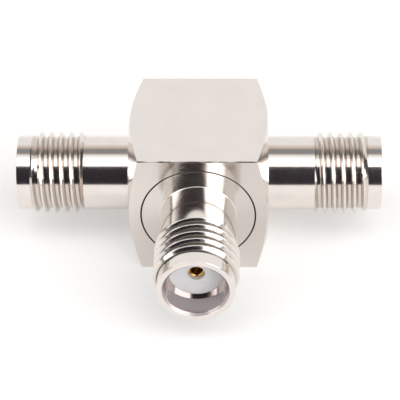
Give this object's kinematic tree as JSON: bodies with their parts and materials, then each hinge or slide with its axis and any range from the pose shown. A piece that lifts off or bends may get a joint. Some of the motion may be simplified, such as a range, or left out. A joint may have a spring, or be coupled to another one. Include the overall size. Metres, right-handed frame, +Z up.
{
  "type": "sma tee adapter",
  "caption": "Coaxial T adapter with threaded SMA jacks on both arms and on the branch, turned from square bar and nickel plated.",
  "frame": {"origin": "centre of the block's bottom face, straight under the crossing of the jacks' axes", "axes": "+X along the two arms, -Y out of the branch jack, +Z up, the adapter standing on its block"},
  "size_m": [0.0282, 0.0189, 0.0105],
  "materials": {
    "nickel": "bright nickel plate on turned brass",
    "gold": "bright gold plate on turned copper alloy",
    "ptfe": "smooth white PTFE"
  },
  "bodies": {
    "root": {"body": "nickel", "front_jack": "nickel", "through_contact": "gold", "branch_contact": "gold", "left_insulator": "ptfe", "right_insulator": "ptfe", "front_insulator": "ptfe"}
  },
  "joints": []
}
